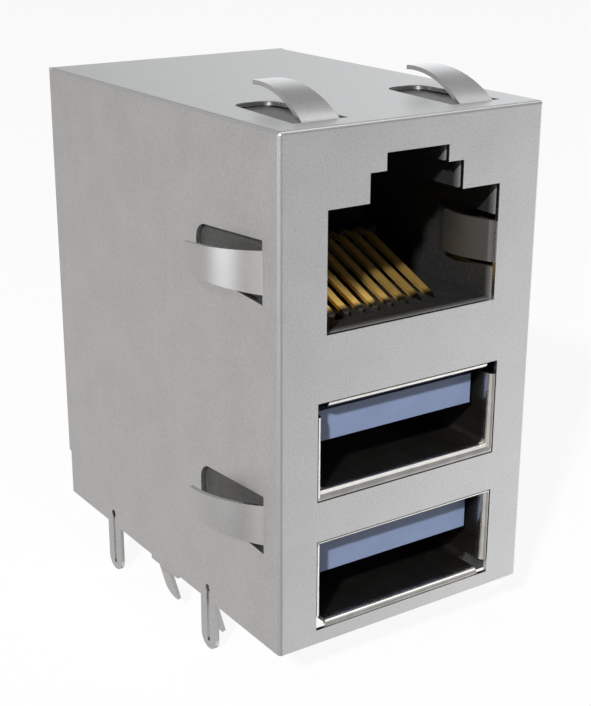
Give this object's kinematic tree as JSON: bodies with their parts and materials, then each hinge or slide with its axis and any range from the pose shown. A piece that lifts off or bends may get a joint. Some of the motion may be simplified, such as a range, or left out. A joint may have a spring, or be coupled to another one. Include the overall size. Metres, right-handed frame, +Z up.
{
  "type": "stacked modular jack and data port connector",
  "caption": "Shielded board connector: a modular jack with its latch slot upwards above stacked data ports, with spring fingers and solder legs on the shield.",
  "frame": {"origin": "middle of the front plate's foot, on the board plane: mid width, at the mating face", "axes": "+X to the right seen from the mating face, +Y from the mating face to the back, +Z up off the board"},
  "size_m": [0.0214, 0.027, 0.0349],
  "materials": {
    "shield": "matt tin plate",
    "cover": "matt tin plate",
    "inner_sheet": "matt tin plate",
    "port_sheet": "bright nickel plate",
    "blue_plastic": "fine moulded",
    "jack_plastic": "fine moulded",
    "insert_plastic": "fine moulded",
    "port_plastic": "fine moulded",
    "plate_plastic": "fine moulded",
    "gold": "polished gold plate"
  },
  "bodies": {
    "root": {"contact_comb": "insert_plastic", "contact_insert": "insert_plastic", "front_shield": "shield", "inner_shield": "inner_sheet", "jack_contact_1": "gold", "jack_contact_2": "gold", "jack_contact_3": "gold", "jack_contact_4": "gold", "jack_contact_5": "gold", "jack_contact_6": "gold", "jack_contact_7": "gold", "jack_contact_8": "gold", "jack_housing": "jack_plastic", "lower_port_blade_1": "gold", "lower_port_blade_2": "gold", "lower_port_blade_3": "gold", "lower_port_blade_4": "gold", "lower_port_shell": "port_sheet", "lower_port_spring_1": "gold", "lower_port_spring_2": "gold", "lower_port_spring_3": "gold", "lower_port_spring_4": "gold", "lower_port_spring_5": "gold", "lower_tongue": "blue_plastic", "port_housing": "port_plastic", "rear_cover": "cover", "tail_plate": "plate_plastic", "upper_port_blade_1": "gold", "upper_port_blade_2": "gold", "upper_port_blade_3": "gold", "upper_port_blade_4": "gold", "upper_port_shell": "port_sheet", "upper_port_spring_1": "gold", "upper_port_spring_2": "gold", "upper_port_spring_3": "gold", "upper_port_spring_4": "gold", "upper_port_spring_5": "gold", "upper_tongue": "blue_plastic"}
  },
  "joints": []
}
